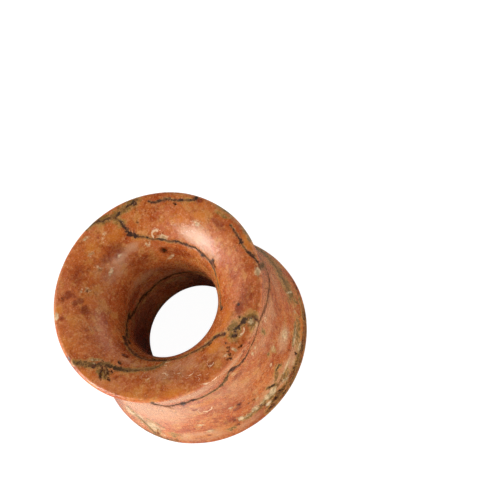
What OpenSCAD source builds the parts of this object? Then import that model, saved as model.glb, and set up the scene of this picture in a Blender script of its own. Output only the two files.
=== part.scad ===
// A double-flared ear tunnel, turned from one piece of stone.
// It stands on its back face, with Z along the bore and the front face on top.

/* [Outside] */
// Diameter over the rim of each flare
flare_d = 17.4; // [17.2:0.1:19]
// Diameter of the saddle at its narrowest, where the ear lobe sits
saddle_d = 16; // [14:0.1:16.6]
// Length from the back face to the front face
length = 11.9; // [10.5:0.1:14]
// Radius that rounds the edge of each flare
rim_r = 0.4; // [0.2:0.05:0.5]

/* [Inside] */
// Diameter of the straight bore
bore_d = 7.8; // [6:0.1:8]
// Radius of the arc that opens the bore to the front face
front_bell_r = 4.25; // [3:0.05:4.35]
// Radius of the arc that opens the bore to the back face
back_bell_r = 2.7; // [1.5:0.1:4]

/* [Hidden] */
$fn = 180;
saddle_r = saddle_d / 2;
bore_r = bore_d / 2;
half = length / 2;
// How far a cut runs past the stone
over = 1;
// Centre of the circle that rounds a rim: from the axis, and from mid-length
rim_x = flare_d / 2 - rim_r;
rim_z = half - rim_r;
// The saddle is one hollow arc that touches both rim circles
rim_step = rim_x - saddle_r;
saddle_arc_r = (rim_step ^ 2 + rim_z ^ 2 - rim_r ^ 2) / (2 * (rim_step + rim_r));
saddle_x = saddle_r + saddle_arc_r;

// Point where the saddle arc touches a rim circle; end is 1 at the front and -1 at the back
function touch(end) =
    let (reach = rim_r / (saddle_arc_r + rim_r))
    [rim_x + (saddle_x - rim_x) * reach, end * rim_z * (1 - reach)];

// Takes the corner between the bore and a face down to a quarter circle
module bell(r, end) {
    difference() {
        translate([bore_r - over, end > 0 ? half - r : -half - over])
            square([r + over, r + over]);
        translate([bore_r + r, end * (half - r)])
            circle(r);
    }
}

// Half section of the stone: radius across, length up
module section() {
    difference() {
        union() {
            translate([bore_r, -half])
                square([rim_x - bore_r, length]);
            polygon([[rim_x, -rim_z], touch(-1), touch(1), [rim_x, rim_z]]);
            for (end = [-1, 1])
                translate([rim_x, end * rim_z])
                    circle(rim_r);
        }
        translate([saddle_x, 0])
            circle(saddle_arc_r);
        bell(front_bell_r, 1);
        bell(back_bell_r, -1);
    }
}

module tunnel() {
    color("peru")
        translate([0, 0, half])
            rotate_extrude()
                section();
}

tunnel();
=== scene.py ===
"""A double-flared ear tunnel of polished orange stone, on a pale floor in soft light.

Sizes are in millimetres until they reach Blender, which is in metres. The tunnel stands on its back face:
Z runs up the bore, from the back face at 0 to the front face, and the camera is on the -Y side.
"""
import math

import bpy
import numpy as np
from mathutils import Matrix, Vector
from mathutils.kdtree import KDTree


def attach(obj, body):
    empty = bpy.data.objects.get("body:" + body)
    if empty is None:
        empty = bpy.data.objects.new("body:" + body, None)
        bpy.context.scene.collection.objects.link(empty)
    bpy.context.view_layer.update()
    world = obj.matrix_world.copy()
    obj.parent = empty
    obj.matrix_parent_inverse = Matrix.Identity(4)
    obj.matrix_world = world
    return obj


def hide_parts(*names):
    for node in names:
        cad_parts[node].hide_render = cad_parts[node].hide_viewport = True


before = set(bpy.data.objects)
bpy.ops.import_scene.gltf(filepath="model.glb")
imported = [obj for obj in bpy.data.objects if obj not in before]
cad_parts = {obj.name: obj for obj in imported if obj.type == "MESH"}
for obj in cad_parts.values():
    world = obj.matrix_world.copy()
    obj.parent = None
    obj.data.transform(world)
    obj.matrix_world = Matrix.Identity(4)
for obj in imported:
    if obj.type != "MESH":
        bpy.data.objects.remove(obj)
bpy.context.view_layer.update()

MM = 0.001

# Sizes of the tunnel, as the part's source has them
FLARE_D = 17.4
SADDLE_D = 16.0
LENGTH = 11.9
RIM_R = 0.4
BORE_D = 7.8
FRONT_BELL_R = 4.25
BACK_BELL_R = 2.7

# Where the photograph puts the tunnel: its middle in pixels, its flare's radius in pixels, the angle
# between the bore and the line of sight, the bore's direction across the picture, and how far away the
# camera is
IMAGE_SIDE = 500
CENTRE_PX = (181.0, 318.5)
FLARE_R_PX = 109.7
BORE_TILT = math.radians(26.6)
BORE_TURN = math.radians(42.5)
VIEW_DISTANCE = 52.6 * FLARE_D / 2

# Settings that many nodes share
TIMES = {"operation": "MULTIPLY"}
TIMES_PLUS = {"operation": "MULTIPLY_ADD"}
LARGER = {"operation": "MAXIMUM"}
MINUS = {"operation": "SUBTRACT"}
SMOOTH = {"interpolation_type": "SMOOTHSTEP"}
SEEDED = {"noise_dimensions": "4D"}


def linear(hex_colour):
    """A hex sRGB colour as linear red, green, blue and alpha."""
    parts = [int(hex_colour[i:i + 2], 16) / 255 for i in (1, 3, 5)]
    return tuple(c / 12.92 if c <= 0.04045 else ((c + 0.055) / 1.055) ** 2.4 for c in parts) + (1.0,)


def add(tree, kind, settings=None, links=None):
    """Adds a node of that kind. settings are its properties, and links gives each input a value, a node's
    output, or a node, which stands for its first output."""
    node = tree.nodes.new(kind)
    for name, value in (settings or {}).items():
        setattr(node, name, value)
    for name, value in (links or {}).items():
        if isinstance(value, bpy.types.Node):
            value = value.outputs[0]
        if isinstance(value, bpy.types.NodeSocket):
            tree.links.new(value, node.inputs[name])
        else:
            node.inputs[name].default_value = value
    return node


def put_in_scene(name, data):
    """A new object in the scene, made of that data."""
    made = bpy.data.objects.new(name, data)
    bpy.context.scene.collection.objects.link(made)
    return made


# The section


def arc(centre, radius, start, end, spacing):
    """Points along an arc, as (across, up), without its first. Angles are in degrees, with 0 outward."""
    steps = math.ceil(abs(math.radians(end - start)) * radius / spacing)
    angles = np.radians(np.linspace(start, end, steps + 1)[1:])
    return [(centre[0] + radius * math.cos(a), centre[1] + radius * math.sin(a)) for a in angles]


def straight(start, end, spacing):
    """Points along a straight line, as (across, up), without its first."""
    steps = math.ceil(math.dist(start, end) / spacing)
    return [tuple(np.add(start, np.subtract(end, start) * i / steps)) for i in range(1, steps + 1)]


def stone_section():
    """The outline of the stone's section, from the foot of the straight bore up through the front bell,
    over the front rim, down the saddle and back through the back bell."""
    bore_r, saddle_r = BORE_D / 2, SADDLE_D / 2
    rim_x, rim_low, rim_high = FLARE_D / 2 - RIM_R, RIM_R, LENGTH - RIM_R
    step, half = rim_x - saddle_r, LENGTH / 2 - RIM_R
    saddle_arc_r = (step ** 2 + half ** 2 - RIM_R ** 2) / (2 * (step + RIM_R))
    saddle_centre = (saddle_r + saddle_arc_r, LENGTH / 2)
    touch = math.degrees(math.atan2(half, saddle_centre[0] - rim_x))
    front_centre = (bore_r + FRONT_BELL_R, LENGTH - FRONT_BELL_R)
    back_centre = (bore_r + BACK_BELL_R, BACK_BELL_R)
    points = [(bore_r, BACK_BELL_R)]
    points += straight(points[-1], (bore_r, LENGTH - FRONT_BELL_R), SPACING)
    points += arc(front_centre, FRONT_BELL_R, 180, 90, SPACING)
    points += straight(points[-1], (rim_x, LENGTH), RIM_SPACING)
    points += arc((rim_x, rim_high), RIM_R, 90, -touch, RIM_SPACING)
    points += arc(saddle_centre, saddle_arc_r, 180 - touch, 180 + touch, SPACING)
    points += arc((rim_x, rim_low), RIM_R, touch, -90, RIM_SPACING)
    points += straight(points[-1], (bore_r + BACK_BELL_R, 0), SPACING)
    points += arc(back_centre, BACK_BELL_R, 270, 180, SPACING)
    return points


# Distance between the skin's points along the section, in the open and round a rim
SPACING = 0.135
RIM_SPACING = 0.05
SECTION = stone_section()
SECTION_LENGTHS = np.concatenate([[0], np.cumsum([math.dist(a, b) for a, b in zip(SECTION, SECTION[1:])])])


def on_stone(angle, length):
    """The point of the stone at an angle round the bore, in degrees, and a length along the section."""
    across = np.interp(length, SECTION_LENGTHS, [x for x, _ in SECTION])
    up = np.interp(length, SECTION_LENGTHS, [z for _, z in SECTION])
    turn = np.radians(angle)
    return np.stack([across * np.cos(turn), across * np.sin(turn), up + 0 * turn], axis=-1)


# The turned stone


def turning_tree():
    """Geometry Nodes that turn a section round the Z axis into a closed skin, and dip it a little inward here
    and there, as polishing by hand does. Its UV runs round and along the section."""
    tree = bpy.data.node_groups.new("turn_the_section", "GeometryNodeTree")
    tree.is_modifier = True
    for name, kind in (("Section", "NodeSocketGeometry"), ("Steps round", "NodeSocketInt"),
                       ("Steps along", "NodeSocketInt"), ("Hand polish", "NodeSocketFloat"),
                       ("Material", "NodeSocketMaterial")):
        tree.interface.new_socket(name=name, in_out="INPUT", socket_type=kind)
    tree.interface.new_socket(name="Stone", in_out="OUTPUT", socket_type="NodeSocketGeometry")
    given = add(tree, "NodeGroupInput").outputs

    grid = add(tree, "GeometryNodeMeshGrid", links={
        "Size X": 1.0, "Size Y": 1.0, "Vertices X": given["Steps round"], "Vertices Y": given["Steps along"]})
    unit = add(tree, "ShaderNodeSeparateXYZ", links={0: grid.outputs["UV Map"]})
    last_row = add(tree, "ShaderNodeMath", MINUS, {0: given["Steps along"], 1: 1.0})
    row_in_full = add(tree, "ShaderNodeMath", TIMES, {0: unit.outputs["Y"], 1: last_row})
    row = add(tree, "ShaderNodeMath", {"operation": "ROUND"}, {0: row_in_full})
    line = add(tree, "GeometryNodeMeshToCurve", links={"Mesh": given["Section"]})
    along = add(tree, "GeometryNodeSplineParameter")
    place = add(tree, "GeometryNodeInputPosition")
    row_length = add(tree, "GeometryNodeSampleIndex", {"data_type": "FLOAT", "domain": "POINT"}, {
        "Geometry": line.outputs["Curve"], "Value": along.outputs["Factor"], "Index": row})
    row_place = add(tree, "GeometryNodeSampleIndex", {"data_type": "FLOAT_VECTOR", "domain": "POINT"}, {
        "Geometry": line.outputs["Curve"], "Value": place, "Index": row})
    uv = add(tree, "ShaderNodeCombineXYZ", links={"X": unit.outputs["X"], "Y": row_length})
    corner_uv = add(tree, "GeometryNodeStoreNamedAttribute", {"data_type": "FLOAT2", "domain": "CORNER"}, {
        "Geometry": grid.outputs["Mesh"], "Name": "turned", "Value": uv})
    angle = add(tree, "ShaderNodeMath", TIMES_PLUS, {
        0: unit.outputs["X"], 1: 2 * math.pi, 2: math.radians(SEAM_ANGLE)})
    turned = add(tree, "ShaderNodeVectorRotate", {"rotation_type": "Z_AXIS"}, {
        "Vector": row_place, "Angle": angle})
    placed = add(tree, "GeometryNodeSetPosition", links={
        "Geometry": corner_uv.outputs["Geometry"], "Position": turned.outputs["Vector"]})
    closed = add(tree, "GeometryNodeMergeByDistance", links={
        "Geometry": placed.outputs["Geometry"], "Distance": SAME_PLACE * MM})
    outward = add(tree, "GeometryNodeFlipFaces", links={"Mesh": closed})
    wave = add(tree, "ShaderNodeTexNoise", links={
        "Vector": place, "Scale": 1 / (WAVE_SIZE * MM), "Detail": 1.0})
    dip = add(tree, "ShaderNodeMath", TIMES, {0: wave, 1: given["Hand polish"]})
    dip_inward = add(tree, "ShaderNodeMath", TIMES, {0: dip, 1: -1.0})
    normal = add(tree, "GeometryNodeInputNormal")
    inward = add(tree, "ShaderNodeVectorMath", {"operation": "SCALE"}, {0: normal, "Scale": dip_inward})
    wavy = add(tree, "GeometryNodeSetPosition", links={"Geometry": outward, "Offset": inward})
    smooth = add(tree, "GeometryNodeSetShadeSmooth", links={"Geometry": wavy})
    real = add(tree, "GeometryNodeRealizeInstances", links={"Geometry": smooth})
    finished = add(tree, "GeometryNodeSetMaterial", links={"Geometry": real, "Material": given["Material"]})
    add(tree, "NodeGroupOutput", links={"Stone": finished})
    return tree


# Where round the bore the skin's seam is, in degrees, how many steps go round, and how near to each other
# two points are one
SEAM_ANGLE = -270
STEPS_ROUND = 400
SAME_PLACE = 0.001

# How wide and how deep the hand polish dips
WAVE_SIZE = 2.5
WAVE_DEPTH = 0.05


def turned_stone(material):
    """The tunnel as one mesh, turned from its section."""
    section = bpy.data.meshes.new("section")
    edges = [(i, i + 1) for i in range(len(SECTION) - 1)]
    section.from_pydata([(x * MM, 0, z * MM) for x, z in SECTION], edges, [])
    blank = put_in_scene("blank", section)
    tree = turning_tree()
    turning = blank.modifiers.new("turning", "NODES")
    turning.node_group = tree
    sizes = {"Steps round": STEPS_ROUND, "Steps along": len(SECTION), "Hand polish": WAVE_DEPTH * MM,
             "Material": material}
    for socket in tree.interface.items_tree:
        if socket.name in sizes:
            turning[socket.identifier] = sizes[socket.name]
    depsgraph = bpy.context.evaluated_depsgraph_get()
    mesh = bpy.data.meshes.new_from_object(blank.evaluated_get(depsgraph))
    mesh.name = "tunnel_stone"
    stone = put_in_scene("tunnel_stone", mesh)
    bpy.data.objects.remove(blank)
    return stone


# The pattern in the stone

# Veins, each as its tone from 0 for black over brown to 1 for olive, how far its olive stain and its black
# specks reach, and its points: angle round the bore in degrees, length along the section, and half the line's
# width in millimetres
VEINS = (
    # Round the hole's lower edge, then in pieces down to the rim and over it
    (0.4, 0.45, 0.4, (
        (-232, 4.4, 0.05), (-220, 4.9, 0.08), (-211, 5.25, 0.1), (-202, 5.6, 0.08), (-195, 6.0, 0.11),
        (-191, 6.5, 0.15), (-183, 6.95, 0.15), (-172, 7.25, 0.13), (-160, 7.65, 0.1), (-147, 7.75, 0.09),
        (-132, 7.8, 0.08), (-125, 8.0, 0.08), (-117, 8.25, 0.09), (-108, 8.4, 0.1), (-100, 8.65, 0.11),
        (-96, 8.85, 0.11), (-90, 9.12, 0.09), (-85, 9.25, 0.08), (-82, 9.45, 0.1), (-80, 9.65, 0.1),
        (-78.5, 9.95, 0.09), (-78, 10.15, 0.06))),
    (0.2, 0.8, 0.7, (
        (-76.5, 10.95, 0.04), (-75.5, 11.05, 0.06), (-74, 10.9, 0.02), (-71.5, 10.95, 0.0),
        (-69.5, 11.05, 0.02), (-68, 11.15, 0.06), (-66.5, 11.3, 0.07), (-65, 11.25, 0.04), (-64, 11.4, 0.0),
        (-63, 11.55, 0.03), (-62.6, 11.8, 0.04), (-63.2, 12.1, 0.02), (-65.5, 12.2, 0.05),
        (-67, 12.15, 0.02))),
    (0.5, 0.4, 0.2, ((-63.5, 12.3, 0.05), (-63, 12.8, 0.07), (-62.5, 13.4, 0.06), (-61.5, 13.7, 0.04))),
    # The olive band at the face's left
    (0.9, 0.45, 0.4, (
        (-189.5, 11.75, 0.05), (-187.8, 11.6, 0.15), (-184, 11.2, 0.15), (-179, 10.7, 0.14),
        (-175.7, 10.2, 0.15), (-170.7, 9.97, 0.19), (-166, 9.88, 0.18), (-161.5, 9.8, 0.13),
        (-156, 9.62, 0.11), (-152, 9.45, 0.07), (-148, 9.25, 0.02), (-144, 9.1, 0.04), (-139, 9.0, 0.05),
        (-135, 8.75, 0.03), (-131, 8.05, 0.02))),
    # The fine crack over the hole
    (0.1, 0.2, 0.3, (
        (-58, 8.3, 0.07), (-55, 7.9, 0.04), (-50, 7.7, 0.05), (-42, 7.48, 0.04), (-30, 7.36, 0.07),
        (-25, 7.5, 0.05), (-20, 7.62, 0.07), (-14, 7.7, 0.08), (-11, 7.75, 0.11), (-6.5, 7.86, 0.07),
        (0, 7.84, 0.1), (3.5, 7.7, 0.12), (8, 7.9, 0.08), (12, 8.03, 0.07), (17, 7.88, 0.08), (22, 7.86, 0.1),
        (28, 7.96, 0.06), (31, 8.04, 0.09), (36, 8.0, 0.03), (41, 8.0, 0.02), (46, 8.16, 0.0),
        (52, 8.35, 0.01), (56, 8.5, 0.05), (60, 8.75, 0.06), (64, 9.0, 0.09), (66.5, 9.15, 0.16),
        (69, 9.5, 0.17), (69.5, 9.9, 0.14), (70, 10.3, 0.08), (70.6, 10.6, 0.02))),
    (0.8, 0.6, 0.4, (
        (70.6, 10.6, 0.0), (71.5, 11.0, 0.04), (72, 11.25, 0.12), (75, 11.42, 0.1), (78, 11.55, 0.08),
        (81, 11.75, 0.09), (84, 12.0, 0.08), (88, 12.2, 0.06))),
    (0.8, 0.7, 0.4, (
        (72, 11.25, 0.11), (68, 11.4, 0.09), (64, 11.55, 0.08), (60, 11.65, 0.12), (57, 11.9, 0.08))),
    # Fine cracks near the front rim
    (0.2, 0.15, 0.3, (
        (-35, 12.4, 0.12), (-33, 12.2, 0.1), (-30, 12.0, 0.08), (-27, 11.8, 0.07), (-24, 11.5, 0.08),
        (-22.5, 11.45, 0.03), (-20, 11.4, 0.04), (-17, 11.42, 0.1), (-13, 11.44, 0.05), (-8, 11.5, 0.04),
        (-4, 11.56, 0.02))),
    (0.2, 0.2, 0.3, (
        (22.5, 12.0, 0.08), (23, 11.7, 0.1), (26, 11.6, 0.03), (30, 11.45, 0.05), (33, 11.4, 0.02),
        (35.5, 11.42, 0.06), (38, 11.5, 0.1), (41, 11.5, 0.08), (44, 11.36, 0.05), (48, 11.3, 0.07),
        (51, 11.5, 0.03))),
    # Round the inside of the bore
    (0.2, 0.3, 0.5, (
        (14, 3.8, 0.06), (30, 3.2, 0.08), (45, 3.0, 0.08), (60, 2.9, 0.12), (75, 2.9, 0.14), (90, 2.8, 0.1),
        (97, 3.0, 0.2), (105, 3.2, 0.1), (120, 3.4, 0.1), (132, 4.2, 0.15), (140, 4.9, 0.08))),
    # Round the saddle
    (0.3, 0.35, 0.3, (
        (-137, 12.4, 0.1), (-138.7, 13.2, 0.16), (-138.5, 14.2, 0.18), (-136.8, 15.0, 0.18),
        (-133, 15.2, 0.16), (-128.5, 15.1, 0.26), (-126.5, 15.1, 0.26), (-123.5, 15.15, 0.14),
        (-120.5, 15.05, 0.25), (-118, 15.3, 0.14))),
    (0.9, 0.35, 0.1, (
        (-118, 15.3, 0.14), (-112, 15.3, 0.14), (-105, 15.3, 0.14), (-102, 15.2, 0.18), (-99, 14.9, 0.18),
        (-96, 14.3, 0.18), (-94, 13.85, 0.18))),
    (0.3, 0.3, 0.3, (
        (-94, 13.85, 0.2), (-92, 13.6, 0.28), (-90.5, 14.1, 0.24), (-88, 14.4, 0.14), (-85, 14.55, 0.14),
        (-82.5, 14.6, 0.2), (-79, 14.45, 0.1))),
    (0.55, 0.25, 0.2, (
        (-79, 14.45, 0.1), (-74, 14.25, 0.12), (-71, 14.15, 0.18), (-66.5, 13.8, 0.13), (-62.5, 13.6, 0.14),
        (-59, 13.9, 0.2), (-56, 14.2, 0.24), (-52, 14.7, 0.2), (-48, 15.1, 0.19), (-44, 15.5, 0.2),
        (-40, 15.9, 0.2), (-36, 16.4, 0.2), (-31, 16.85, 0.2), (-27, 17.1, 0.16))),
    (0.5, 0.35, 0.3, (
        (-27, 17.1, 0.15), (-22, 17.4, 0.12), (-15, 17.9, 0.1), (-5, 18.1, 0.08), (10, 17.6, 0.05),
        (30, 17.2, 0.06), (50, 16.4, 0.05), (70, 15.8, 0.06), (90, 16.2, 0.05), (110, 15.4, 0.05),
        (130, 14.6, 0.06), (150, 14.2, 0.05), (175, 13.9, 0.06), (195, 13.3, 0.05), (208, 12.6, 0.05))),
    (0.5, 0.2, 0.2, ((-136.8, 15.0, 0.1), (-135.8, 15.7, 0.08), (-134.5, 16.3, 0.03))),
    (0.9, 0.4, 0.2, (
        (-34, 12.4, 0.14), (-31.5, 13.2, 0.16), (-29, 14.0, 0.18), (-25.8, 15.2, 0.2), (-21.7, 16.4, 0.2),
        (-18.3, 17.3, 0.12))),
    (0.5, 0.1, 0.1, ((-42, 14.2, 0.03), (-40, 15.0, 0.06), (-37.5, 15.9, 0.04))),
    # Round the back flare
    (0.9, 0.6, 0.1, (
        (-173.5, 19.8, 0.0), (-172.5, 20.4, 0.02), (-171, 20.9, 0.0), (-168.5, 21.4, 0.07),
        (-166, 21.9, 0.05), (-164, 22.5, 0.03), (-162, 23.1, 0.05), (-159.5, 23.4, 0.04))),
    (0.5, 0.4, 0.3, ((-161, 23.3, 0.04), (-159.5, 22.9, 0.03), (-158.5, 22.4, 0.0), (-157.5, 21.9, 0.02))),
    (0.5, 0.3, 0.3, ((-175, 23.45, 0.05), (-165, 23.5, 0.06), (-150, 23.5, 0.04))),
    (0.5, 0.2, 0.2, ((-148.5, 23.1, 0.05), (-148.7, 23.5, 0.05))),
    (0.5, 0.4, 0.2, (
        (-96, 23.4, 0.08), (-88, 23.4, 0.05), (-78, 23.45, 0.03), (-68, 23.4, 0.04), (-60, 23.3, 0.06),
        (-50, 23.4, 0.06), (-40, 23.45, 0.03), (-33, 23.45, 0.0))),
    (0.7, 0.4, 0.25, (
        (-86.3, 21.2, 0.0), (-85, 21.45, 0.02), (-83.5, 21.6, 0.0), (-81.8, 21.8, 0.0), (-81.6, 22.3, 0.01))),
    (0.6, 0.4, 0.3, (
        (-79.5, 21.5, 0.01), (-77.5, 21.3, 0.02), (-76.5, 21.0, 0.0), (-74.5, 20.8, 0.0), (-72, 20.9, 0.0),
        (-71.5, 21.1, 0.0))),
    (0.4, 0.4, 0.4, ((-80, 22.2, 0.03), (-78.5, 22.15, 0.04), (-75, 22.1, 0.0), (-71, 22.15, 0.0))),
    (1.0, 0.4, 0.0, ((-58, 21.8, 0.0), (-50, 21.75, 0.03), (-44, 21.8, 0.0))),
    (0.8, 1.6, 0.3, (
        (-28, 21.6, 0.0), (-15, 21.3, 0.03), (0, 21.8, 0.05), (12, 22.3, 0.04), (30, 22.6, 0.06))),
)

# Shell rings and pieces of them: angle, length, radius, half thickness, how much of the ring is left
# from -1 for all to 1 for none, and how far it is turned, in degrees
SHELLS = (
    (-119.5, 18.2, 0.45, 0.05, 0.0, -25),
    (-72, 11.35, 0.3, 0.06, 0.2, 0),
    (49.5, 8.72, 0.32, 0.07, -0.3, -45),
    (-130, 10.0, 0.25, 0.03, 0.2, 215),
    (-117.5, 9.9, 0.35, 0.035, 0.75, 20),
    (-112, 10.45, 0.4, 0.05, 0.75, -20),
    (-106, 10.95, 0.35, 0.035, 0.8, 10),
    (-97.5, 11.0, 0.22, 0.035, 0.3, 0),
    (-128, 8.55, 0.3, 0.04, 0.7, 30),
    (-142, 9.95, 0.3, 0.03, 0.75, -40),
    (-106, 11.85, 0.3, 0.04, 0.75, 20),
    (-101.5, 12.05, 0.3, 0.04, 0.7, 0),
    (-55, 15.35, 0.5, 0.035, 0.7, 95),
    (-92, 9.0, 0.2, 0.03, 0.4, 120),
    # A painted glint: a small full cream disc where the back rim catches a bright glint.
    (-92.3, 22.75, 0.16, 0.16, -1.0, 0),
)

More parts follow.
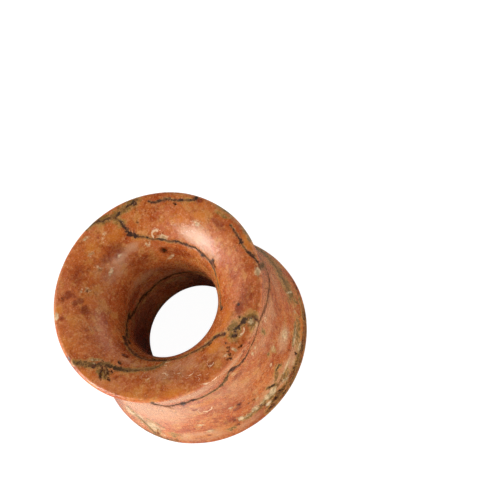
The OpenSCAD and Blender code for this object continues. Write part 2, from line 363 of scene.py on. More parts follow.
# Soft oval spots of each tone: angle, length, half width round and along, strength, and for some how far they
# are turned, in degrees
SPOTS = {
    # Rust spots are partly painted shade: the wide dark-red zones in the bore, round the hole's edge and
    # along the back rim's right paint shade there; the small ones are rust stains.
    "rust_and_shade": (
        (-227.8, 9.85, 0.3, 0.3, 1.0), (-226.3, 10.3, 0.3, 0.25, 1.0), (-221, 9.5, 0.5, 0.45, 0.8),
        (-228.5, 11.3, 0.35, 0.25, 0.7), (-217, 11.4, 0.18, 0.22, 1.0), (-266, 9.2, 1.1, 0.6, 0.6),
        (-245, 10.4, 1.2, 0.9, 0.5), (-231, 10.9, 0.5, 0.4, 0.8), (-181, 7.3, 0.7, 0.4, 0.9),
        (-169, 8.3, 0.5, 0.3, 0.8), (-58.5, 10.5, 0.8, 0.5, 0.9), (-98, 11.1, 0.45, 0.35, 0.8),
        (-78, 11.3, 0.4, 0.6, 0.5), (-50, 11.0, 1.6, 0.9, 0.5), (2, 10.9, 0.9, 0.4, 0.7),
        (20, 11.8, 0.4, 0.2, 0.9), (-80.5, 13.0, 0.12, 0.6, 0.9), (-75, 13.3, 0.12, 0.7, 0.6),
        (-103.7, 20.1, 0.35, 0.3, 1.0), (-106, 20.5, 0.5, 0.25, 0.9), (-125, 17.6, 0.25, 0.2, 0.9),
        (-129, 22.6, 0.3, 0.2, 0.6), (-135, 22.7, 0.8, 0.4, 0.4), (-82, 22.95, 1.1, 0.4, 0.5),
        (-73, 23.05, 1.6, 0.3, 0.5), (-61, 22.95, 0.9, 0.35, 0.5), (-50, 23.15, 1.6, 0.3, 0.5),
        (-112, 21.5, 0.3, 0.3, 0.6), (-112, 22.5, 0.3, 0.2, 0.6), (-116, 21.6, 0.5, 0.3, 0.5),
        (46.8, 7.15, 0.55, 0.5, 0.9), (85, 9.0, 1.0, 0.8, 0.6), (35, 2.2, 2.4, 2.4, 0.4),
        (75, 2.0, 2.4, 2.4, 0.6), (110, 2.0, 2.4, 2.6, 0.7), (145, 2.2, 2.4, 2.6, 0.8),
        (110, 4.6, 2.6, 0.9, 0.5), (-92, 16.0, 1.0, 0.7, 0.5), (-45, 18.5, 1.3, 1.0, 0.4),
        (-125, 10.2, 2.2, 1.0, 0.4), (-97, 10.8, 1.8, 0.8, 0.3), (-170, 7.4, 2.4, 1.3, 0.6),
        (-205, 6.0, 1.8, 1.6, 0.4), (75, 6.8, 2.0, 1.0, 0.4), (28, 6.9, 2.2, 0.8, 0.5),
        (-5, 7.0, 1.6, 0.6, 0.4)),
    "cream": (
        (-182, 10.42, 0.8, 0.03, 0.5, -45), (-170.5, 10.6, 0.2, 0.06, 0.5, 40),
        (-176.8, 10.3, 0.12, 0.08, 0.6), (59.3, 11.62, 0.2, 0.12, 1.0), (84, 10.6, 0.5, 0.08, 0.6, -30),
        (60.5, 8.1, 0.08, 0.25, 0.8), (-258.5, 8.22, 0.6, 0.15, 0.9, -8), (-208.5, 9.45, 0.45, 0.2, 0.45),
        (-261.5, 10.4, 0.4, 0.25, 0.4), (-237.2, 9.5, 0.35, 0.4, 0.4), (-219, 11.86, 0.4, 0.22, 0.9),
        (-180.3, 10.65, 0.14, 0.08, 0.8, -45), (-128, 8.4, 0.25, 0.12, 0.8), (44, 8.42, 0.55, 0.22, 1.0, 10),
        (58, 8.05, 0.3, 0.06, 1.0, -45), (43, 6.3, 0.7, 0.1, 0.9, -42), (15, 10.0, 0.7, 0.35, 0.6),
        (-37, 12.0, 0.4, 0.35, 0.9), (-7, 8.3, 0.35, 0.12, 0.6), (4, 8.3, 0.35, 0.12, 0.5),
        (-65, 11.85, 0.3, 0.22, 0.9), (-82.8, 11.75, 0.1, 0.3, 0.9), (-88.5, 11.45, 0.3, 0.12, 0.8),
        (-65, 12.8, 0.12, 0.6, 0.9), (-93, 15.0, 0.2, 0.6, 0.5), (-129.5, 20.75, 0.35, 0.16, 1.0),
        (-108.5, 19.9, 0.26, 0.2, 1.0), (-94, 21.2, 0.2, 0.16, 0.7), (-127, 22.0, 0.55, 0.2, 0.6),
        (-77.5, 15.6, 0.12, 0.35, 1.0), (-74.2, 15.4, 0.12, 0.3, 1.0), (-56.5, 15.3, 0.12, 0.55, 0.7),
        (-75, 19.7, 0.2, 0.2, 0.8), (-55.5, 20.2, 0.75, 0.8, 0.6), (-108.5, 22.0, 0.35, 0.4, 1.0),
        (-99, 22.0, 0.45, 0.35, 0.9), (-90, 22.05, 0.45, 0.4, 0.9), (-97, 22.15, 2.4, 0.22, 0.55),
        (-85.5, 22.1, 0.5, 0.45, 1.0), (-78, 22.5, 0.4, 0.2, 0.6), (-70, 21.9, 1.2, 0.16, 0.7),
        # The cream spot at -92, 22.8 here is part of the painted glint on the back rim.
        (-52, 21.85, 1.4, 0.18, 0.8), (-38.5, 21.8, 0.2, 0.2, 0.9), (-92, 22.8, 0.42, 0.14, 1.0),
        (-75, 22.75, 0.4, 0.2, 0.7), (-66, 22.6, 0.4, 0.2, 0.5), (-56, 22.8, 0.7, 0.2, 0.7, 15),
        (-27, 21.6, 0.06, 1.2, 0.9, -20), (-67, 18.9, 0.3, 0.8, 0.4), (-160, 21.8, 0.8, 1.1, 0.85, 10),
        (-176, 21.2, 0.7, 1.2, 0.8, 20), (-168, 21.0, 1.2, 0.9, 0.5), (-154.5, 21.6, 0.35, 0.35, 0.5),
        (-166, 20.4, 0.5, 0.8, 0.4, 20), (-156, 22.9, 0.3, 0.4, 0.5), (-141, 22.5, 0.25, 0.4, 0.4),
        (-267, 11.5, 0.35, 0.14, 0.9, 20), (86, 8.5, 0.3, 0.15, 0.7), (-256.5, 9.2, 0.14, 0.3, 0.5),
        (-235.4, 9.9, 0.2, 0.14, 0.5)),
    # Among the black spots, the wide weak ones at the hole's lower edge (-150, 7.5) and along the back rim's
    # right, at lengths near 23 from -83 to -20, are painted shade; the rest are dark specks.
    "black": (
        (-78, 10.1, 0.2, 0.14, 0.9), (-74, 10.25, 0.1, 0.07, 0.8), (-75.5, 11.2, 0.22, 0.16, 0.9),
        (-73.5, 11.0, 0.1, 0.08, 0.8), (-84, 11.2, 0.15, 0.12, 0.8), (-85.5, 11.4, 0.12, 0.08, 0.7),
        (-86.5, 11.7, 0.08, 0.18, 0.8, 20), (-89, 11.8, 0.15, 0.08, 0.8, -30), (-88, 12.0, 0.08, 0.14, 0.8),
        (-79, 12.05, 0.14, 0.08, 0.8), (-80.5, 11.95, 0.08, 0.06, 0.7), (-82.5, 10.8, 0.06, 0.3, 0.6, 10),
        (-96, 9.3, 0.22, 0.18, 0.7), (-89.5, 9.4, 0.25, 0.12, 0.6), (-64, 10.75, 0.14, 0.12, 0.8),
        (-56.3, 10.35, 0.14, 0.14, 0.8), (-58, 8.25, 0.25, 0.15, 0.9), (-179, 10.85, 0.16, 0.14, 0.9),
        (-171.5, 11.15, 0.26, 0.08, 1.0, 45), (-173, 10.85, 0.28, 0.06, 0.9, 45),
        (-170.3, 11.3, 0.14, 0.08, 0.9, 40), (-171, 10.65, 0.3, 0.06, 0.8, 40),
        (-175.3, 10.45, 0.16, 0.08, 0.8, 20), (-166, 11.0, 0.24, 0.09, 1.0, 25),
        (-168.2, 10.65, 0.2, 0.06, 0.8, 45), (-170, 10.45, 0.3, 0.08, 0.8),
        (-167.3, 9.3, 0.28, 0.14, 0.9, 20), (-172.5, 10.3, 0.2, 0.08, 0.7, 45),
        (-169, 10.9, 0.3, 0.05, 0.8, 45), (-167, 10.35, 0.25, 0.08, 0.7, 30),
        (-173.8, 10.6, 0.2, 0.05, 0.8, 45), (-150, 7.5, 2.6, 0.4, 0.45), (-186, 6.3, 0.5, 0.25, 0.8, 20),
        (-193, 12.0, 0.18, 0.1, 0.9), (-191.7, 6.55, 0.35, 0.3, 0.9), (-12.5, 8.02, 0.45, 0.18, 0.8),
        (-10.8, 8.28, 0.18, 0.14, 1.0), (-15.5, 8.0, 0.14, 0.08, 0.9), (46.8, 7.15, 0.25, 0.25, 1.0),
        (3, 7.75, 0.22, 0.16, 0.9), (21, 7.86, 0.2, 0.12, 0.8), (34, 11.1, 0.12, 0.1, 0.9),
        (58.5, 11.5, 0.2, 0.15, 0.8), (60.5, 10.05, 0.1, 0.08, 0.8), (-255, 9.1, 0.2, 0.14, 0.35),
        (-236.6, 9.4, 0.14, 0.16, 0.35), (-249.3, 10.9, 0.14, 0.12, 0.35), (-126, 15.2, 0.25, 0.9, 1.0, 15),
        (-120, 15.0, 0.25, 0.5, 0.9), (-91.8, 13.9, 0.3, 0.5, 0.9), (-103.7, 20.1, 0.22, 0.2, 0.5),
        (-99, 20.9, 0.14, 0.12, 0.5), (-95.7, 21.0, 0.16, 0.14, 0.5), (-111.7, 21.8, 0.1, 0.2, 0.6),
        (-111.5, 22.6, 0.16, 0.16, 0.7), (-95.3, 22.25, 0.12, 0.25, 0.8, -20), (-61.5, 21.4, 0.06, 0.22, 0.8),
        (-61, 22.5, 0.09, 0.3, 0.8), (-93.5, 22.6, 0.12, 0.14, 0.8), (-87.5, 22.95, 0.3, 0.2, 0.9),
        (-92, 23.25, 0.5, 0.1, 0.9), (-84, 22.7, 0.5, 0.1, 0.6), (-83, 22.95, 1.2, 0.35, 0.45),
        (-70, 23.05, 1.6, 0.4, 0.4), (-55, 23.15, 1.4, 0.3, 0.4), (-38, 23.3, 1.6, 0.25, 0.4),
        (-20, 23.3, 1.6, 0.25, 0.4), (-169.5, 8.35, 0.5, 0.15, 0.6), (-222, 9.6, 0.35, 0.25, 0.25),
        (-230, 11.2, 0.5, 0.4, 0.15), (-126.5, 15.2, 0.2, 0.7, 0.9)),
    # The pale zones are mostly painted sheen: wide ones lighten the saddle, the band behind the front rim,
    # the bell's left, the bore and the stone round the highlight, where it shows a pale reflection; a few are
    # paler stone.
    "pale": (
        (-155, 17.0, 5.5, 4.5, 1.0), (-118, 16.0, 3.5, 3.5, 0.2), (-160, 8.8, 1.4, 0.5, 0.5),
        (-120, 13.3, 4.0, 1.2, 1.0), (-90, 12.9, 2.5, 0.7, 0.8), (100, 8.2, 2.0, 1.5, 0.4),
        (-65, 13.0, 1.6, 0.8, 0.8), (86, 8.4, 0.9, 0.6, 0.8), (74, 8.4, 0.9, 0.5, 0.8),
        (-162, 11.3, 2.6, 0.7, 0.3), (14, 8.9, 2.2, 1.0, 0.9), (-2, 8.4, 2.0, 0.8, 0.7),
        (-90, 2.5, 2.6, 2.0, 0.5), (110, 2.2, 2.8, 2.6, 0.5), (60, 2.4, 2.6, 2.4, 0.5),
        (85, 5.2, 2.4, 0.9, 0.5), (-70, 10.6, 1.2, 0.8, 0.6), (-132, 22.6, 3.6, 0.9, 0.9),
        (-106, 22.9, 2.0, 0.6, 0.7), (-60, 22.3, 2.5, 1.0, 1.0), (-58, 20.2, 1.6, 1.2, 0.9),
        (-30, 18.5, 2.0, 1.5, 0.4), (-60, 16.0, 5.0, 3.5, 0.5), (-95, 17.8, 4.0, 3.6, 0.4),
        (-82, 21.8, 3.0, 1.0, 0.9)),
    "amber": (
        (-125, 11.7, 1.2, 0.4, 0.8), (-150, 11.75, 1.5, 0.3, 0.7), (-165, 11.3, 2.4, 0.7, 0.45),
        (-142, 11.2, 2.0, 0.6, 0.35), (-203, 11.7, 2.0, 0.4, 0.5), (-180, 11.8, 0.9, 0.3, 0.7),
        (-90, 10.1, 0.9, 0.6, 1.0), (-77, 10.7, 0.5, 0.6, 1.0), (-222, 11.6, 0.5, 0.4, 1.0),
        (-66, 9.5, 1.2, 0.6, 0.7), (-18, 11.9, 1.4, 0.4, 0.9), (16, 10.6, 0.9, 0.5, 0.8),
        (-28, 7.5, 2.0, 0.5, 0.8), (78, 10.0, 1.2, 0.9, 0.6), (-215, 10.6, 1.3, 0.7, 0.6),
        (30, 9.9, 1.5, 0.6, 0.6), (-133, 22.7, 2.2, 0.5, 0.7), (-150, 22.6, 1.2, 0.7, 0.7),
        (-117, 17.0, 1.2, 0.8, 0.7), (-118, 22.4, 1.4, 0.6, 0.6), (-45, 22.8, 2.2, 0.5, 0.8),
        (-264, 10.6, 1.0, 0.6, 0.7)),
    "olive": (
        (95, 2.6, 2.6, 0.5, 0.35), (60, 2.0, 2.4, 0.5, 0.45), (130, 3.4, 1.6, 0.5, 0.4),
        (-72, 10.5, 0.9, 0.5, 0.9), (-171, 10.8, 0.9, 0.55, 1.0), (-182, 10.4, 0.8, 0.15, 0.9, -45),
        (-15, 12.25, 1.3, 0.3, 1.0), (5, 12.25, 1.4, 0.3, 1.0), (4, 11.65, 1.1, 0.22, 0.8, -10),
        (72, 11.0, 0.5, 0.5, 0.9), (26, 11.6, 0.6, 0.2, 0.8), (80, 11.6, 0.6, 0.3, 0.7),
        (-63.5, 15.8, 0.3, 1.1, 0.9), (-67, 19.0, 0.35, 0.9, 0.6), (-71.5, 18.6, 0.25, 0.35, 0.8),
        (-50, 22.3, 2.0, 0.5, 0.8), (-158, 20.8, 1.3, 0.5, 0.6, 20), (-105, 22.3, 0.9, 0.4, 0.8),
        (-88, 22.1, 1.5, 0.35, 1.0), (-31, 22.3, 0.25, 0.8, 0.8, 15), (-20, 22.0, 0.8, 0.5, 0.8),
        (-99, 22.3, 2.2, 0.35, 0.9), (-84, 22.95, 2.0, 0.4, 0.9), (-60, 23.0, 2.4, 0.4, 0.8),
        (-33, 23.1, 2.4, 0.35, 0.7), (-75, 22.4, 0.9, 0.4, 0.8), (-87, 22.5, 0.9, 0.3, 0.9),
        (-34, 20.8, 0.2, 0.8, 0.6, 15), (-148, 22.4, 0.8, 0.7, 0.6), (-166, 21.5, 2.0, 1.2, 0.6),
        (-159, 22.8, 0.3, 0.4, 0.8), (-116, 22.7, 0.7, 0.3, 0.8), (-82, 23.1, 0.8, 0.3, 0.8)),
}
TONES = tuple(SPOTS)

# How much further a spot reaches than its row says, because the skin's points lie twice as far apart
SPOT_BLUR = 0.07

# How steeply a spot's edge fades, and how far from its middle a shell ring is drawn, in its own radii
SPOT_EDGE = 1.5
SHELL_REACH = 1.6

# How many more spots and shell rings lie on the sides that the photograph does not show, and the seeds that
# place them
UNSEEN_SPOTS = 110
UNSEEN_SHELLS = 44
SPOT_SEED = 7
SHELL_SEED = 11

# Those sides, as angles round the bore and lengths along the section: the far side of the saddle with its
# flares, which gets this share of them, and the back face with its bell
FAR_SIDE = (0, 200), (12.8, 23.5)
FAR_SIDE_SHARE = 0.6
BACK = (-180, 180), (23.8, 28.6)

# Small chips missing from the rims and veins: angle, length, radius and depth
CHIPS = (
    (-219, 12.0, 0.4, 0.03), (-34.5, 12.35, 0.35, 0.06), (59, 11.8, 0.35, 0.05), (-65.3, 12.15, 0.25, 0.06),
    (-88.5, 11.7, 0.2, 0.05), (-92, 22.75, 0.35, 0.07), (-109, 22.3, 0.35, 0.05), (22.5, 11.9, 0.2, 0.05),
    (-157, 22.4, 0.5, 0.06), (110, 23.5, 0.5, 0.1), (-12, 8.05, 0.25, 0.03),
)

# How deep the veins and black specks are worn, and how far a vein's slopes reach beyond its line
VEIN_WEAR = 0.03
SPECK_WEAR = 0.02
VEIN_SLOPE = 0.12

# How close together a vein's places are, every how many of them spread its stain and specks, how far from a
# vein the skin's points keep their offset from it, and the offset that all other points get
VEIN_STEP = 0.03
STAIN_EVERY = 4
LINE_REACH = 0.5
FAR = 9.0


def along_vein(points):
    """Close points along a vein, in millimetres, and half its dark line's width at each."""
    angles, lengths, halves = np.array(points, float).T
    corners = on_stone(angles, lengths)
    run = np.concatenate([[0], np.cumsum(np.linalg.norm(np.diff(corners, axis=0), axis=1))])
    even = np.arange(0, run[-1], VEIN_STEP)
    return on_stone(np.interp(even, run, angles), np.interp(even, run, lengths)), np.interp(even, run, halves)


def draw_veins(near, count):
    """For each point of the skin: its offset from the nearest dark line, that line's half width with the
    strength of the olive stain and of the black specks there, and the line's tone."""
    offset, field, tones = np.full((count, 3), FAR), np.zeros((count, 3)), np.zeros(count)
    nearest = np.full(count, LINE_REACH)
    for tone, stain_reach, speck_reach, points in VEINS:
        places, halves = along_vein(points)
        for place, half in zip(places, halves):
            for co, i, distance in near.find_range(place, LINE_REACH):
                if distance < nearest[i] and half > 0:
                    nearest[i] = distance
                    offset[i] = co[0] - place[0], co[1] - place[1], co[2] - place[2]
                    field[i, 0] = half
                    tones[i] = tone
        for reach, column in ((stain_reach, 1), (speck_reach, 2)):
            for place in places[::STAIN_EVERY]:
                for _, i, distance in near.find_range(place, reach):
                    field[i, column] = max(field[i, column], 1 - distance / reach)
    return offset, field, tones


def frame_on_stone(angle, length, turn=0):
    """A point of the stone with its directions round the bore and along the section, both turned by some
    degrees for a mark that lies aslant."""
    centre = on_stone(angle, length)
    little_turn, little_way = 0.1, 0.01
    round_way = on_stone(angle + little_turn, length) - centre
    down_way = on_stone(angle, length + little_way) - centre
    round_way, down_way = round_way / np.linalg.norm(round_way), down_way / np.linalg.norm(down_way)
    c, s = math.cos(math.radians(turn)), math.sin(math.radians(turn))
    return centre, c * round_way + s * down_way, c * down_way - s * round_way


def unseen_place(chance):
    """An angle and a length on the sides that the photograph does not show."""
    angles, lengths = FAR_SIDE if chance.random() < FAR_SIDE_SHARE else BACK
    return chance.uniform(*angles), chance.uniform(*lengths)


def unseen_shells():
    """Pieces of shell rings for the sides that the photograph does not show."""
    chance = np.random.default_rng(SHELL_SEED)
    for _ in range(UNSEEN_SHELLS):
        angle, length = unseen_place(chance)
        radius = chance.uniform(0.12, 0.38)
        half = chance.uniform(0.03, 0.05)
        left = chance.uniform(0.2, 0.85)
        yield angle, length, radius, half, left, chance.uniform(-180, 180)


def draw_shells(near, count):
    """For each point of the skin near a shell ring: its place in the ring, where the ring's radius is 1,
    and the ring's half thickness in that measure."""
    shell = np.full((count, 3), FAR)
    nearest = np.full(count, FAR)
    for angle, length, radius, half, left, turn in SHELLS + tuple(unseen_shells()):
        centre, round_way, down_way = frame_on_stone(angle, length, turn)
        for co, i, distance in near.find_range(centre, SHELL_REACH * radius):
            if distance / radius < nearest[i]:
                nearest[i] = distance / radius
                away = np.array(co) - centre
                x, y = away @ round_way / radius, away @ down_way / radius
                shell[i] = x, y, half / radius if y > left else -1
    return shell


def unseen_spots():
    """Spots for the sides that the photograph does not show, in the sizes of those that it does."""
    chance = np.random.default_rng(SPOT_SEED)
    for _ in range(UNSEEN_SPOTS):
        tone = TONES[chance.integers(len(TONES))]
        angle, length = unseen_place(chance)
        wide = chance.uniform(0.1, 0.8) * (0.4 if tone == "black" else 1.0)
        strength = chance.uniform(0.4, 1.0)
        half_along = wide * chance.uniform(0.3, 1.0)
        yield tone, (angle, length, wide, half_along, strength, chance.uniform(-90, 90))


def draw_spots(near, count):
    """For each point of the skin: the strength of the spots of each tone there. A spot is flat, so that it
    does not colour both sides of an edge."""
    spots = np.zeros((count, len(TONES)))
    seen = [(tone, spot) for tone in TONES for spot in SPOTS[tone]]
    for tone, (angle, length, half_round, half_along, strength, *turn) in seen + list(unseen_spots()):
        centre, round_way, down_way = frame_on_stone(angle, length, *turn)
        half_round, half_along = half_round + SPOT_BLUR, half_along + SPOT_BLUR
        reach, column = max(half_round, half_along), TONES.index(tone)
        for co, i, distance in near.find_range(centre, reach):
            x, y = (np.array(co) - centre) @ round_way, (np.array(co) - centre) @ down_way
            deep = math.sqrt(max(0, distance ** 2 - x ** 2 - y ** 2))
            away = math.hypot(x / half_round, y / half_along, deep / reach)
            spots[i, column] = max(spots[i, column], strength * min(1, SPOT_EDGE * (1 - away)))
    return spots


def chip_depth(near, count):
    """For each point of the skin: how deep the small chips are there, in millimetres."""
    depth = np.zeros(count)
    for angle, length, radius, deepest in CHIPS:
        for _, i, distance in near.find_range(on_stone(angle, length), radius):
            depth[i] = max(depth[i], deepest * (1 - (distance / radius) ** 2))
    return depth


def draw_pattern(mesh):
    """Keeps on the skin's points what the material draws there: veins, stains, shell rings and spots, some of
    which paint shade and sheen.
    Polishing has eaten a little into the soft veins and black specks, and small chips are missing."""
    count = len(mesh.vertices)
    places, normals = np.empty(count * 3), np.empty(count * 3)
    mesh.vertices.foreach_get("co", places)
    mesh.vertex_normals.foreach_get("vector", normals)
    near = KDTree(count)
    for i, place in enumerate(places.reshape(-1, 3) / MM):
        near.insert(place, i)
    near.balance()
    offset, field, tones = draw_veins(near, count)
    spots = draw_spots(near, count)
    in_vein = np.clip(1 - np.linalg.norm(offset, axis=1) / (VEIN_SLOPE + field[:, 0]), 0, 1)
    worn = VEIN_WEAR * in_vein + SPECK_WEAR * spots[:, TONES.index("black")] + chip_depth(near, count)
    places -= MM * np.repeat(worn, 3) * normals
    mesh.vertices.foreach_set("co", places)
    mesh.update()
    patterns = {"vein_offset": offset, "vein_field": field, "shell": draw_shells(near, count),
                "spots": spots[:, :3], "zones": spots[:, 3:]}
    for name, values in patterns.items():
        mesh.attributes.new(name, "FLOAT_VECTOR", "POINT").data.foreach_set("vector", values.ravel())
    mesh.attributes.new("vein_tone", "FLOAT", "POINT").data.foreach_set("value", tones)


# Materials


def empty_material(name):
    """A material whose tree has no nodes yet."""
    material = bpy.data.materials.new(name)
    material.use_nodes = True
    material.node_tree.nodes.clear()
    return material


def patches(tree, place, size, low, high, seed, detail=4.0):
    """A mask where a cloud of that size, in millimetres, rises from low to high."""
    cloud = add(tree, "ShaderNodeTexNoise", SEEDED, {
        "Vector": place, "W": seed, "Scale": 1 / size, "Detail": detail, "Roughness": 0.6})
    return add(tree, "ShaderNodeMapRange", SMOOTH, {0: cloud, 1: low, 2: high})


def drawn(tree, name):
    """The three numbers that draw_pattern keeps on the skin under a name."""
    kept = add(tree, "ShaderNodeAttribute", {"attribute_name": name}).outputs["Vector"]
    return add(tree, "ShaderNodeSeparateXYZ", links={0: kept}).outputs


def stain(tree, under, colour, mask, strength=1.0):
    """Lays a colour over what is there, where the mask is."""
    share = add(tree, "ShaderNodeMath", TIMES, {0: mask, 1: strength})
    over = linear(colour) if isinstance(colour, str) else colour
    return add(tree, "ShaderNodeMix", {"data_type": "RGBA"}, {0: share, 6: under, 7: over}).outputs[2]


def toned(tree, tone, black, brown, olive):
    """A colour that runs from black over brown to olive as the tone goes from 0 to 1."""
    to_brown = add(tree, "ShaderNodeMapRange", links={0: tone, 1: 0.0, 2: 0.5})
    to_olive = add(tree, "ShaderNodeMapRange", links={0: tone, 1: 0.5, 2: 1.0})
    return stain(tree, stain(tree, linear(black), brown, to_brown), olive, to_olive)


def shaken(tree, place, size, amount, seed):
    """A small shift in millimetres that wanders over that size."""
    cloud = add(tree, "ShaderNodeTexNoise", SEEDED, {
        "Vector": place, "W": seed, "Scale": 1 / size, "Detail": 3.0})
    centred = add(tree, "ShaderNodeVectorMath", MINUS, {0: cloud.outputs["Color"], 1: (0.5, 0.5, 0.5)})
    return add(tree, "ShaderNodeVectorMath", {"operation": "SCALE"}, {0: centred, "Scale": amount})


# Clouds in the body colour: colour, size in millimetres, where it starts and is full, and strength
CLOUDS = (
    ("#983F17", 3.0, 0.44, 0.60, 0.75),
    ("#C06C34", 1.8, 0.47, 0.60, 0.65),
    ("#B45E38", 4.2, 0.50, 0.60, 0.60),
    ("#C08042", 0.9, 0.52, 0.62, 0.65),
    ("#7E2E12", 0.6, 0.56, 0.66, 0.60),
    ("#CE8E56", 0.3, 0.50, 0.62, 0.45),
    ("#78340F", 0.22, 0.51, 0.63, 0.40),
    ("#DFAE7C", 0.13, 0.58, 0.68, 0.45),
)


def body_colour(tree, place):
    """The clouded orange ground of the stone."""
    colour = linear("#B35B28")
    for seed, (tint, size, low, high, strength) in enumerate(CLOUDS):
        colour = stain(tree, colour, tint, patches(tree, place, size, low, high, seed=seed * 3.7), strength)
    return colour


def vein_depth(tree, place, half):
    """How far inside the nearest dark line a place is, in millimetres. The line's edge wanders and
    crumbles, and its width is uneven."""
    offset = add(tree, "ShaderNodeAttribute", {"attribute_name": "vein_offset"}).outputs["Vector"]
    wide = add(tree, "ShaderNodeVectorMath", {"operation": "ADD"}, {
        0: offset, 1: shaken(tree, place, 0.8, 0.35, 11.0)})
    fine = add(tree, "ShaderNodeVectorMath", {"operation": "ADD"}, {
        0: wide, 1: shaken(tree, place, 0.2, 0.25, 12.0)})
    distance = add(tree, "ShaderNodeVectorMath", {"operation": "LENGTH"}, {0: fine}).outputs["Value"]
    uneven = add(tree, "ShaderNodeMapRange", links={
        0: patches(tree, place, 0.5, 0.35, 0.65, seed=13.0), 3: 0.4, 4: 1.6})
    width = add(tree, "ShaderNodeMath", TIMES, {0: half, 1: uneven})
    inside = add(tree, "ShaderNodeMath", MINUS, {0: width, 1: distance})
    crumbs = add(tree, "ShaderNodeMapRange", links={
        0: patches(tree, place, 0.13, 0.3, 0.7, detail=2.0, seed=15.0), 3: -0.8, 4: 0.8})
    return add(tree, "ShaderNodeMath", TIMES_PLUS, {0: crumbs, 1: half, 2: inside})


def ragged(tree, place, field, size, wild, low, high, seed):
    """A mask that follows a field from low to high, with an edge as wild as asked in clouds of that size."""
    cloud = add(tree, "ShaderNodeTexNoise", SEEDED, {
        "Vector": place, "W": seed, "Scale": 1 / size, "Detail": 5.0, "Roughness": 0.65})
    centred = add(tree, "ShaderNodeMath", MINUS, {0: cloud, 1: 0.5})
    level = add(tree, "ShaderNodeMath", TIMES_PLUS, {0: centred, 1: wild, 2: field})
    mask = add(tree, "ShaderNodeMapRange", SMOOTH, {0: level, 1: low, 2: high})
    near = add(tree, "ShaderNodeMapRange", links={0: field, 1: 0.0, 2: 0.1})
    return add(tree, "ShaderNodeMath", TIMES, {0: mask, 1: near})


def shell_mask(tree, place):
    """A mask for the cream shell rings."""
    ring = add(tree, "ShaderNodeAttribute", {"attribute_name": "shell"}).outputs["Vector"]
    wavy = add(tree, "ShaderNodeVectorMath", {"operation": "ADD"}, {
        0: ring, 1: shaken(tree, place, 0.3, 0.5, 21.0)})
    parts = add(tree, "ShaderNodeSeparateXYZ", links={0: wavy}).outputs
    flat = add(tree, "ShaderNodeCombineXYZ", links={"X": parts["X"], "Y": parts["Y"]})
    radius = add(tree, "ShaderNodeVectorMath", {"operation": "LENGTH"}, {0: flat}).outputs["Value"]
    off = add(tree, "ShaderNodeMath", MINUS, {0: radius, 1: 1.0})
    off = add(tree, "ShaderNodeMath", {"operation": "ABSOLUTE"}, {0: off})
    inside = add(tree, "ShaderNodeMath", MINUS, {0: parts["Z"], 1: off})
    return add(tree, "ShaderNodeMapRange", SMOOTH, {0: inside, 1: -0.12, 2: 0.08})


def dots(tree, place, spacing, radius, share, seed):
    """A mask of small round dots: one in each cell of that size, kept in that share of the cells."""
    cells = add(tree, "ShaderNodeTexVoronoi", {"voronoi_dimensions": "4D"}, {
        "Vector": place, "W": seed, "Scale": 1 / spacing})
    near = add(tree, "ShaderNodeMapRange", SMOOTH, {
        0: cells.outputs["Distance"], 1: radius / spacing, 2: 0.5 * radius / spacing})
    chance = add(tree, "ShaderNodeSeparateXYZ", links={0: cells.outputs["Color"]}).outputs["X"]
    kept = add(tree, "ShaderNodeMath", {"operation": "LESS_THAN"}, {0: chance, 1: share})
    return add(tree, "ShaderNodeMath", TIMES, {0: near, 1: kept})


# How rough the stone is: where it is polished brightest and less, in its pits, and in its worn veins
BRIGHTEST = 0.12
BUFFED = 0.18
PITTED = 0.45
WORN = 0.8

# The height of the grain that catches the light, in millimetres, and how many of it a vein looks hollowed by
GRAIN_HEIGHT = 0.02
VEIN_GRAINS = 1.5


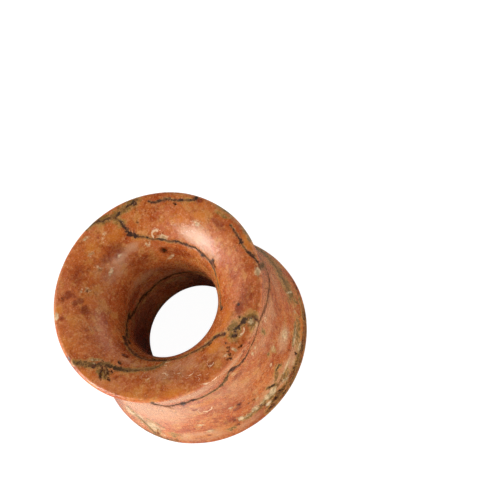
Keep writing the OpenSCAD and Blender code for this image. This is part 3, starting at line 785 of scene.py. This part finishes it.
def fossil_marble():
    """Polished orange fossil marble, ground and buffed: a soft gloss over clouded colour, with olive and
    black veins, pale shell rings and small pits that the polish leaves dull."""
    material = empty_material("fossil_marble")
    tree = material.node_tree
    spot = add(tree, "ShaderNodeTexCoord").outputs["Object"]
    place = add(tree, "ShaderNodeVectorMath", {"operation": "SCALE"}, {0: spot, "Scale": 1 / MM})
    half, vein_stain, specks = drawn(tree, "vein_field")
    rust_and_shade, cream, black = drawn(tree, "spots")
    pale, amber, olive_zone = drawn(tree, "zones")
    olive = add(tree, "ShaderNodeMath", LARGER, {0: vein_stain, 1: olive_zone})

    colour = body_colour(tree, place)
    chalk = stain(tree, linear("#E0C094"), "#A98F66", patches(tree, place, 0.25, 0.4, 0.6, seed=39.0))
    # Of these zones, the pale ones are mostly painted sheen and the wide rust ones painted shade; the rest is
    # the stone's own colour.
    for zone, tint, size, wild, low, high, seed, strength in (
            (pale, "#C8966F", 1.1, 1.6, 0.0, 1.0, 29.0, 0.65),
            (amber, "#C8762A", 0.4, 1.2, 0.1, 1.0, 30.0, 0.7),
            (rust_and_shade, "#782C12", 0.3, 1.4, 0.1, 0.75, 31.0, 0.75),
            (olive, "#B08448", 0.5, 2.5, 0.15, 0.7, 32.0, 0.7),
            (olive, "#6A4E22", 0.3, 3.5, 0.35, 0.95, 33.0, 0.8),
            (cream, chalk, 0.2, 2.6, 0.15, 0.8, 34.0, 0.8)):
        colour = stain(tree, colour, tint, ragged(tree, place, zone, size, wild, low, high, seed), strength)
    colour = stain(tree, colour, "#DDBE93", dots(tree, place, 0.8, 0.11, 0.4, 37.0), 0.6)
    colour = stain(tree, colour, "#E2A56C", dots(tree, place, 0.45, 0.08, 0.35, 44.0), 0.6)
    colour = stain(tree, colour, "#E6CBA3", shell_mask(tree, place), 0.7)
    depth = vein_depth(tree, place, half)
    edge = add(tree, "ShaderNodeMapRange", SMOOTH, {0: depth, 1: -0.14, 2: 0.03})
    inside = add(tree, "ShaderNodeMapRange", SMOOTH, {0: depth, 1: -0.04, 2: 0.04})
    broken = patches(tree, place, 0.3, 0.36, 0.54, seed=14.0)
    core = add(tree, "ShaderNodeMath", TIMES, {0: inside, 1: broken})
    tone = add(tree, "ShaderNodeAttribute", {"attribute_name": "vein_tone"}).outputs["Fac"]
    colour = stain(tree, colour, toned(tree, tone, "#54290F", "#93511F", "#74501C"), edge, 0.85)
    colour = stain(tree, colour, toned(tree, tone, "#1E0E02", "#5C2806", "#402A06"), core, 0.95)
    dark = ragged(tree, place, specks, 0.45, 4.5, 0.85, 1.15, 35.0)
    colour = stain(tree, colour, "#2A1604", dark, 0.85)
    # The black spots are dark specks, and where wide and weak they are painted shade.
    colour = stain(tree, colour, "#6A3212", ragged(tree, place, black, 0.25, 1.8, 0.05, 0.65, 36.0), 0.7)
    colour = stain(tree, colour, "#2A1504", ragged(tree, place, black, 0.2, 4.5, 0.4, 0.8, 40.0), 0.9)
    colour = stain(tree, colour, "#3A2010", dots(tree, place, 0.9, 0.08, 0.4, 38.0), 0.6)

    polish = add(tree, "ShaderNodeMapRange", links={
        0: patches(tree, place, 0.7, 0.35, 0.65, seed=41.0), 3: BRIGHTEST, 4: BUFFED})
    pitted = add(tree, "ShaderNodeMapRange", links={
        0: patches(tree, place, 0.12, 0.47, 0.6, detail=2.0, seed=43.0), 3: polish, 4: PITTED})
    hollow = add(tree, "ShaderNodeMath", LARGER, {0: core, 1: dark})
    dull = add(tree, "ShaderNodeMath", LARGER, {0: edge, 1: dark})
    rough = add(tree, "ShaderNodeMapRange", links={0: dull, 3: pitted, 4: WORN})
    grain = patches(tree, place, 0.16, 0.3, 0.7, seed=42.0)
    height = add(tree, "ShaderNodeMath", TIMES_PLUS, {0: hollow, 1: -VEIN_GRAINS, 2: grain})
    relief = add(tree, "ShaderNodeBump", links={
        "Height": height, "Strength": 0.45, "Distance": GRAIN_HEIGHT * MM})
    shader = add(tree, "ShaderNodeBsdfPrincipled", links={
        "Base Color": colour, "Roughness": rough, "IOR": 1.5, "Specular IOR Level": 0.3,
        "Normal": relief})
    add(tree, "ShaderNodeOutputMaterial", links={"Surface": shader})
    return material


def board_paint(name, colour, glow):
    """Matt studio board, which may glow as a lit table does: by a number, or by the node that a function
    adds to its tree."""
    material = empty_material(name)
    tree = material.node_tree
    shader = add(tree, "ShaderNodeBsdfPrincipled", links={
        "Base Color": linear(colour), "Roughness": 0.9, "Specular IOR Level": 0.0,
        "Emission Color": linear("#FFFFFF"), "Emission Strength": glow(tree) if callable(glow) else glow})
    add(tree, "ShaderNodeOutputMaterial", links={"Surface": shader})
    return material


# The studio


# How far a floor board reaches from the tunnel, in metres
BOARD_REACH = 2.0

# The way to the picture's lower left along the floor
LOWER_LEFT = (-0.92, -0.4, 0)

# Where the floor's outer light starts and is full, in millimetres from the tunnel's axis
OUTER_FROM = 12
OUTER_TO = 15


def board(name, height, paint):
    """A wide flat board at a height in millimetres."""
    mesh = bpy.data.meshes.new(name)
    low, high = -BOARD_REACH, BOARD_REACH
    corners = [(low, low), (high, low), (high, high), (low, high)]
    mesh.from_pydata([(x, y, height * MM) for x, y in corners], [], [(0, 1, 2, 3)])
    mesh.materials.append(paint)
    made = put_in_scene(name, mesh)
    return made


def light_beside(tree, near, far, left_from, left_to, dimmest, brightest, outer):
    """Light on the floor round the tunnel, none up to a near distance from its axis and all from a far one.
    It grows from dimmest to brightest towards the picture's lower left, and well outside the foot it is
    nowhere weaker than the outer light."""
    spot = add(tree, "ShaderNodeTexCoord").outputs["Object"]
    distance = add(tree, "ShaderNodeVectorMath", {"operation": "LENGTH"}, {0: spot}).outputs["Value"]
    beside = add(tree, "ShaderNodeMapRange", SMOOTH, {0: distance, 1: near * MM, 2: far * MM})
    across = add(tree, "ShaderNodeVectorMath", {"operation": "DOT_PRODUCT"}, {
        0: spot, 1: LOWER_LEFT}).outputs["Value"]
    left = add(tree, "ShaderNodeMapRange", SMOOTH, {
        0: across, 1: left_from * MM, 2: left_to * MM, 3: dimmest, 4: brightest})
    beyond = add(tree, "ShaderNodeMapRange", SMOOTH, {
        0: distance, 1: OUTER_FROM * MM, 2: OUTER_TO * MM, 3: dimmest, 4: outer})
    level = add(tree, "ShaderNodeMath", LARGER, {0: left, 1: beyond})
    return add(tree, "ShaderNodeMath", TIMES, {0: beside, 1: level})


def floor():
    """The pale floor, as three boards close under one another. The camera sees only the first, which glows,
    so that it stays white behind the bore. The second lights the stone, and the third shows only in its
    polish."""
    seen = board("floor", 0.0, board_paint("lit_board", "#808080", 0.97))
    seen.visible_diffuse = seen.visible_glossy = seen.visible_shadow = False
    below = board("floor_below", -0.02, board_paint(
        "plain_board", "#E4E2E0", lambda tree: light_beside(
            tree, near=9, far=16, left_from=-20, left_to=20, dimmest=0.1, brightest=1.2, outer=0.1)))
    below.visible_camera = below.visible_glossy = False
    mirrored = board("floor_mirrored", -0.04, board_paint(
        "dim_board", "#201A17", lambda tree: light_beside(
            tree, near=7.5, far=9.5, left_from=3, left_to=12, dimmest=0.14, brightest=0.95, outer=0.6)))
    mirrored.visible_camera = mirrored.visible_diffuse = mirrored.visible_shadow = False


def camera():
    """The photograph's view of the tunnel, from above its front face and rolled, so that the bore leans."""
    middle = Vector((0, 0, LENGTH / 2 * MM))
    towards = Vector((0, -math.sin(BORE_TILT), math.cos(BORE_TILT)))
    right = Vector((math.sin(BORE_TURN), -math.cos(BORE_TURN) * math.cos(BORE_TILT),
                    -math.cos(BORE_TURN) * math.sin(BORE_TILT)))
    up = towards.cross(right)
    focal_px = FLARE_R_PX * VIEW_DISTANCE / (FLARE_D / 2)
    data = bpy.data.cameras.new("camera")
    data.sensor_width = 36.0
    data.lens = focal_px / IMAGE_SIDE * data.sensor_width
    data.clip_start = 0.01
    data.clip_end = 10.0
    viewer = put_in_scene("camera", data)
    # The tunnel lies off the picture's middle, so the camera aims beside it
    aside = (CENTRE_PX[0] - IMAGE_SIDE / 2) / focal_px
    below = (CENTRE_PX[1] - IMAGE_SIDE / 2) / focal_px
    ahead = (-towards - right * aside + up * below).normalized()
    side = (right - ahead * right.dot(ahead)).normalized()
    top = side.cross(ahead)
    turn = Matrix((side, top, -ahead)).transposed().to_4x4()
    viewer.matrix_world = Matrix.Translation(middle + towards * VIEW_DISTANCE * MM) @ turn
    bpy.context.scene.camera = viewer


def softbox(name, direction, distance, size, power, lights=True, shines=True):
    """A square area light that faces the tunnel from a direction, with its side and distance in millimetres.
    It may light the stone, shine in its polish, or both."""
    data = bpy.data.lights.new(name, "AREA")
    data.shape = "SQUARE"
    data.size = size * MM
    data.energy = power
    lamp = put_in_scene(name, data)
    away = Vector(direction).normalized()
    lamp.location = away * distance * MM
    lamp.visible_diffuse = lights
    lamp.visible_glossy = shines
    lamp.rotation_mode = "QUATERNION"
    lamp.rotation_quaternion = away.to_track_quat("Z", "Y")


# The room: up to what angle over the floor its walls are bright and from what angle its ceiling is dim, how
# strong both are, and how much of that the picture's left and right get
BRIGHT_TO, DIM_FROM = math.radians(4), math.radians(38)
WALLS, CEILING = 1.85, 0.15
LEFT_SHARE, RIGHT_SHARE = 0.5, 1.5
RIGHT_SIDE = (0.88, -0.4, 0)


def studio():
    """A white room, dim overhead and brighter at the picture's right, that lights the stone but does not
    show in its polish. A small key light and a wide window stand at the picture's left, a soft light behind
    the tunnel, and in front a fill that lights without shining. The others only shine: one over the window,
    a small one by the fill, and two cards at the picture's right and top."""
    world = bpy.data.worlds.new("studio")
    world.use_nodes = True
    tree = world.node_tree
    way = add(tree, "ShaderNodeTexCoord").outputs["Generated"]
    height = add(tree, "ShaderNodeSeparateXYZ", links={0: way}).outputs["Z"]
    walls = add(tree, "ShaderNodeMapRange", SMOOTH, {
        0: height, 1: math.sin(BRIGHT_TO), 2: math.sin(DIM_FROM), 3: WALLS, 4: CEILING})
    across = add(tree, "ShaderNodeVectorMath", {"operation": "DOT_PRODUCT"}, {0: way, 1: RIGHT_SIDE})
    side = add(tree, "ShaderNodeMapRange", links={
        0: across.outputs["Value"], 1: -1.0, 2: 1.0, 3: LEFT_SHARE, 4: RIGHT_SHARE})
    strength = add(tree, "ShaderNodeMath", TIMES, {0: walls, 1: side})
    background = tree.nodes["Background"]
    background.inputs["Color"].default_value = linear("#FFFFFF")
    tree.links.new(strength.outputs[0], background.inputs["Strength"])
    world.cycles_visibility.glossy = False
    bpy.context.scene.world = world
    # Each light's name, direction, distance, side and power
    softbox("key", (-0.81, 0.18, 0.56), 300, 38, 0.27)
    softbox("window", (-0.88, 0.36, 0.31), 300, 160, 0.7)
    softbox("window_shine", (-0.87, 0.33, 0.36), 299, 140, 0.52, lights=False)
    softbox("back_light", (-0.5, 0.65, 0.55), 300, 200, 0.23)
    softbox("fill", (-0.07, -0.75, 0.65), 300, 60, 0.18, shines=False)
    softbox("fill_shine", (-0.04, -0.86, 0.5), 300, 18, 0.1, lights=False)
    softbox("card", (0.96, 0.08, 0.1), 300, 280, 0.44, lights=False)
    softbox("overhead_card", (0.45, 0.3, 0.84), 300, 180, 0.05, lights=False)
    bpy.context.scene.view_settings.view_transform = "Standard"


camera()
floor()
studio()
stone = turned_stone(fossil_marble())
draw_pattern(stone.data)
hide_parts("tunnel")
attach(stone, "root")
